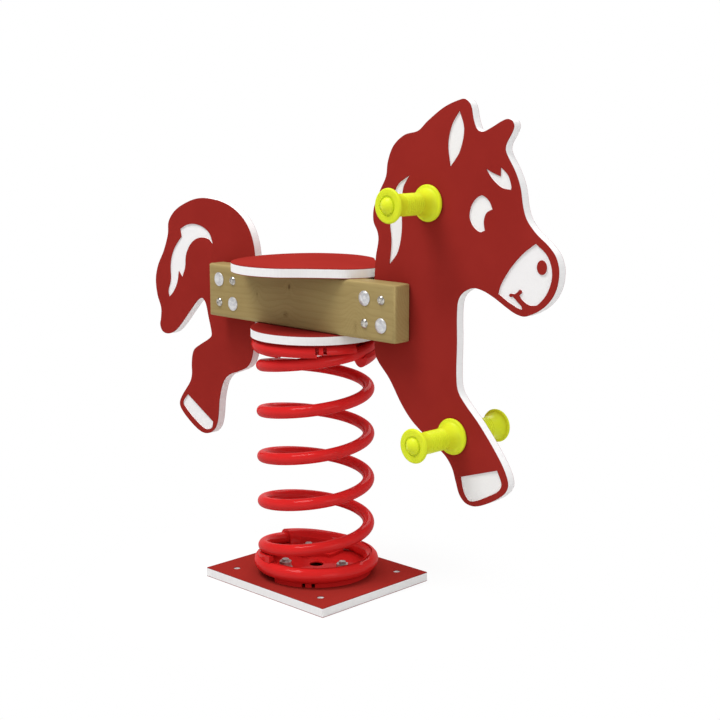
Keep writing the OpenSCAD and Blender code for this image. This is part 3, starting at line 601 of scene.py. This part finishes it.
def wire_tube(name, start, end, free_start):
    """One half of the spring wire, closed at both ends, with a rounded cut at its free end."""
    first = start + CUT_ROUND / DEGREE_L if free_start else start
    last = end if free_start else end - CUT_ROUND / DEGREE_L
    count = math.ceil((last - first) / RING_STEP)
    stations = [(first + (last - first) * i / count, WIRE_R) for i in range(count + 1)]
    if free_start:
        stations = cut_stations(start, 1)[::-1] + stations
    else:
        stations = stations + cut_stations(end, -1)
    bm = bmesh.new()
    rings = [[bm.verts.new(point) for point in wire_ring(a, radius)] for a, radius in stations]
    for a, b in zip(rings, rings[1:]):
        for k in range(WIRE_SIDES):
            n = (k + 1) % WIRE_SIDES
            bm.faces.new((a[k], a[n], b[n], b[k]))
    bm.faces.new(rings[0][::-1])
    bm.faces.new(rings[-1])
    mesh = finished_mesh(bm, name, WIRE_SMOOTH)
    return add_object(name, mesh, materials["red_steel"], None, ["spring"])


lower_half = wire_tube("spring_lower_half", -LOWER_SWEEP, MIDDLE, free_start=True)
upper_half = wire_tube("spring_upper_half", MIDDLE, WORK_ANGLE + UPPER_SWEEP, free_start=False)
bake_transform(lower_half)
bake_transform(upper_half)

# Grips, pegs and caps

GRIP_L = 92.0 * MM
SHAFT_R = 17.0 * MM
ROD_BORE = 6.25 * MM
RIM_R = 3.0 * MM
RIM_STEPS = 12
FLARE_L = 21.0 * MM
FLARE_STEP = 6
FLANGE_R = 28.5 * MM
KNOB_R = 26.5 * MM
RIBS = 9
RIB_POINTS = 8
RIB_DEPTH = 1.0 * MM
POCKET_R = 15.2 * MM
POCKET_DEPTH = 1.6 * MM
POCKET_ROUND = 0.8 * MM
POCKET_STEPS = 4
BORE_R = 10.5 * MM
BORE_L = 18.0 * MM
GRIP_STEPS = 72
CAP_R = 12.5 * MM
CAP_H = 7.5 * MM
CAP_RIM = 1.2 * MM
CAP_LIFT = 0.05 * MM
PLUG_R = 10.2 * MM
PLUG_L = 5.0 * MM
DOME_STEPS = 14
TURNED_STEPS = 64
# angles between faces, in degrees, below which the shading runs on smoothly
GRIP_SMOOTH = 42.0
TURNED_SMOOTH = 35.0


def trumpet(flange_r, angle):
    """Radius and height of a flare over its flange, from the flange at 0 to the shaft at 90 degrees."""
    turn = math.radians(angle)
    edge = flange_r - RIM_R
    return edge - (edge - SHAFT_R) * math.sin(turn), FLARE_L * (1 - math.cos(turn))


def grip_profile():
    """Closed half section of a grip: flange, flare, ribbed shaft, flare, knob with a pocket for the cap."""
    flare_angles = range(FLARE_STEP, 90 + FLARE_STEP, FLARE_STEP)
    points = [(ROD_BORE, 0.0)]
    points += arc(FLANGE_R - RIM_R, RIM_R, RIM_R, -90, 90, RIM_STEPS)
    flare = [trumpet(FLANGE_R, angle) for angle in flare_angles]
    points += [(radius, 2 * RIM_R + height) for radius, height in flare]
    start, end = 2 * RIM_R + FLARE_L, GRIP_L - 2 * RIM_R - FLARE_L
    for i in range(1, RIBS * RIB_POINTS):
        groove = max(0.0, 1.0 - abs(i % RIB_POINTS - RIB_POINTS / 2) / (RIB_POINTS / 4))
        points.append((SHAFT_R - RIB_DEPTH * groove, start + (end - start) * i / (RIBS * RIB_POINTS)))
    flare = [trumpet(KNOB_R, angle) for angle in flare_angles[::-1]]
    points += [(radius, GRIP_L - 2 * RIM_R - height) for radius, height in flare]
    points += arc(KNOB_R - RIM_R, GRIP_L - RIM_R, RIM_R, -90, 90, RIM_STEPS)
    points += arc(POCKET_R + POCKET_ROUND, GRIP_L - POCKET_ROUND, POCKET_ROUND, 90, 180, POCKET_STEPS)
    points += [(POCKET_R, GRIP_L - POCKET_DEPTH), (BORE_R, GRIP_L - POCKET_DEPTH)]
    points += [(BORE_R, GRIP_L - BORE_L), (ROD_BORE, GRIP_L - BORE_L)]
    return points


def cap_profile():
    """Half section of a grip cap: plug, foot in the pocket and dome."""
    foot = CAP_LIFT - POCKET_DEPTH
    stem = [(0.0, -PLUG_L), (PLUG_R, -PLUG_L), (PLUG_R, foot), (CAP_R, foot)]
    return stem + dome(CAP_R, CAP_H, CAP_RIM, DOME_STEPS)


def lathed(name, profiles_places, material, body, replaced):
    """One piece of several turned solids, in place of CAD nodes."""
    bm = bmesh.new()
    for profile, place in profiles_places:
        lathe(bm, profile, place, TURNED_STEPS)
    add_object(name, finished_mesh(bm, name, TURNED_SMOOTH), material, body, replaced)


for node in ("right_hand_grip", "left_hand_grip", "right_foot_peg", "left_foot_peg"):
    low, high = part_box(node)
    side = -1 if high[1] < 0 else 1
    foot = low[1] if side > 0 else high[1]
    bm = bmesh.new()
    lathe(bm, grip_profile(), along_y(mid(node, 0), foot, mid(node, 2), side), GRIP_STEPS, closed=True)
    mesh = finished_mesh(bm, node + "_moulded", GRIP_SMOOTH)
    add_object(node + "_moulded", mesh, materials["lime"], body_of(node), [node])

caps = []
for low, high in islands("grip_caps"):
    side = -1 if high[1] < 0 else 1
    seat = side * (HALF_SHEET + GRIP_L)
    caps.append((cap_profile(), along_y((low[0] + high[0]) / 2, seat, (low[2] + high[2]) / 2, side)))
lathed("grip_caps_moulded", caps, materials["lime"], body_of("grip_caps"), ["grip_caps"])

# Bolts and screws

HEAD_R = 12.0 * MM
HEAD_H = 5.0 * MM
HEAD_RIM = 0.9 * MM
BOLT_R = 5.0 * MM
BOLT_GAP = 0.25 * MM
NUT_HOLE_SHARE = 0.55
BUTTON_R = 7.5 * MM
BUTTON_H = 4.5 * MM
BUTTON_RIM = 0.5 * MM
BUTTON_STEPS = 20
SCREW_R = 3.0 * MM
SOCKET_R = 3.3 * MM
SOCKET_L = 2.5 * MM
SOCKET_EDGE = 0.3 * MM
SOCKET_ROUND = 0.4 * MM
SOCKET_FLOOR_SHARE = 0.6
FASTENER_ARRIS = 0.5 * MM


def bolt_profile(tail):
    """Half section of a through bolt: shank of the given length, low dome on a thin rim."""
    shank = [(0.0, -tail), (BOLT_R, -tail), (BOLT_R, 0.0), (HEAD_R, 0.0)]
    return shank + dome(HEAD_R, HEAD_H, HEAD_RIM, DOME_STEPS)


def dome_nut_profile(tail):
    """Half section of a domed nut, with the blind hole its bolt ends in. Its tail is nothing."""
    hole = BOLT_R + BOLT_GAP
    deep = NUT_HOLE_SHARE * HEAD_H
    foot = [(0.0, deep), (hole, deep), (hole, -tail), (HEAD_R, -tail)]
    return foot + dome(HEAD_R, HEAD_H, HEAD_RIM, DOME_STEPS)


def screw_profile(tail):
    """Half section of a panel screw: shank of the given length, button head and round-bottomed socket."""
    curve = dome(BUTTON_R, BUTTON_H, BUTTON_RIM, BUTTON_STEPS)
    head = [point for point in curve if point[0] > SOCKET_R + SOCKET_EDGE]
    floor_z = BUTTON_H - SOCKET_L
    shank = [(0.0, -tail), (SCREW_R, -tail), (SCREW_R, 0.0), (BUTTON_R, 0.0)]
    socket = [(SOCKET_R, head[-1][1]), (SOCKET_R, floor_z + SOCKET_ROUND)]
    return shank + head + socket + [(SOCKET_FLOOR_SHARE * SOCKET_R, floor_z), (0.0, floor_z)]


for node, profile, finish in (("panel_bolts", bolt_profile, "zinc"),
                              ("panel_bolt_nuts", dome_nut_profile, "zinc"),
                              ("right_screws", screw_profile, "screw_steel"),
                              ("left_screws", screw_profile, "screw_steel")):
    turned = []
    for low, high in islands(node):
        side = -1 if low[1] < -FACE else 1
        tail = high[1] + FACE if side < 0 else FACE - low[1]
        place = along_y((low[0] + high[0]) / 2, side * FACE, (low[2] + high[2]) / 2, side)
        turned.append((profile(tail), place))
    lathed(node + "_turned", turned, materials[finish], body_of(node), [node])

# clamp nuts and bolts in the steel with painted shade and a painted red reflection
for node in ("lower_nuts", "upper_nuts", "lower_bolts", "upper_bolts"):
    soften(node, materials["clamp_steel_painted_shade_and_reflection"], FASTENER_ARRIS, segments=2, angle=50.0, smooth=40.0)

# the CAD nodes that nothing replaces: rods, screws and angles
for cad in nodes.values():
    if not cad.hide_render:
        cad.data.materials.clear()
        cad.data.materials.append(materials["zinc"])

# Floor and background

STAGE_SIZE = 30.0
FLOOR_Z = -0.2 * MM
FLOOR_GREY = (0.59, 0.59, 0.59, 1)
SHADOW_WHITE = (0.90, 0.90, 0.90, 1)
# distances from the spring's axis between which the floor's shadow fades, and the shares of plain white
SHADOW_RADII = (0.12, 0.42)
SHADOW_GLOW = (0.80, 1.0)
# upward parts of a ray's direction between which the white background darkens, and its greys there
BACKDROP_HEIGHTS = (0.10, 0.55)
BACKDROP_GREYS = (1.0, 0.25)
# ambient light from the horizon and from straight above
SKY_LIGHTS = (0.16, 1.32)

mesh = bpy.data.meshes.new("floor")
bm = bmesh.new()
bmesh.ops.create_grid(bm, x_segments=1, y_segments=1, size=STAGE_SIZE / 2)
bm.to_mesh(mesh)
bm.free()
floor = bpy.data.objects.new("floor", mesh)
bpy.context.scene.collection.objects.link(floor)
floor.location = (0, 0, FLOOR_Z)

t = Tree(bpy.data.materials.new("pale_floor"), emptied=True)
lit = t.shader("ShaderNodeBsdfDiffuse", Color=FLOOR_GREY)
shaded = t.shader("ShaderNodeBsdfDiffuse", Color=SHADOW_WHITE)
glow = t.shader("ShaderNodeEmission", Strength=1.0)
shown = t.shader_mix(t.ranged(t.length(), *SHADOW_RADII, *SHADOW_GLOW), shaded, glow)
t.output("ShaderNodeOutputMaterial", t.shader_mix(t.shown_rays(), lit, shown))
mesh.materials.append(t.owner)

world = bpy.data.worlds.new("studio")
bpy.context.scene.world = world
t = Tree(world, emptied=True, coordinate="Generated")
height = t.parts()["Z"]
ambient = t.shader("ShaderNodeBackground", Strength=1.0,
                   Color=t.ranged(height, 0.0, 1.0, *SKY_LIGHTS, smooth=False))
backdrop = t.shader("ShaderNodeBackground", Strength=1.0,
                    Color=t.ranged(height, *BACKDROP_HEIGHTS, *BACKDROP_GREYS))
t.output("ShaderNodeOutputWorld", t.shader_mix(t.shown_rays(), ambient, backdrop))

# Lamps and camera

AIM = (0.0, 0.0, 0.45)
# each lamp: place, diameter, power in watts
LAMPS = {
    "key": ((-0.62, -1.36, 3.28), 1.6, 64.0),
    "fill": ((2.9, -0.9, 1.2), 1.8, 14.0),
    "back": ((-1.2, 2.4, 2.2), 1.6, 17.0),
}
PICTURE_PX = 720
FOCAL_PX = 1391.09
SENSOR_MM = 36.0
CAMERA_AT = (1.67187, -1.59039, 0.80140)
CAMERA_TILT = 10.24
CAMERA_TURN = 44.56
NEAR_CLIP = 0.05

for name, (place, size, power) in LAMPS.items():
    data = bpy.data.lights.new(name, "AREA")
    data.shape = "DISK"
    data.size = size
    data.energy = power
    lamp = bpy.data.objects.new(name, data)
    bpy.context.scene.collection.objects.link(lamp)
    lamp.location = place
    lamp.rotation_euler = (Vector(AIM) - Vector(place)).to_track_quat("-Z", "Y").to_euler()

camera_data = bpy.data.cameras.new("camera")
camera = bpy.data.objects.new("camera", camera_data)
bpy.context.scene.collection.objects.link(camera)
camera_data.sensor_width = SENSOR_MM
camera_data.lens = FOCAL_PX / PICTURE_PX * SENSOR_MM
camera_data.clip_start = NEAR_CLIP
camera.location = CAMERA_AT
camera.rotation_euler = (math.radians(90 - CAMERA_TILT), 0, math.radians(CAMERA_TURN))
bpy.context.scene.camera = camera
bpy.context.scene.view_settings.view_transform = "Standard"

bpy.context.view_layer.update()
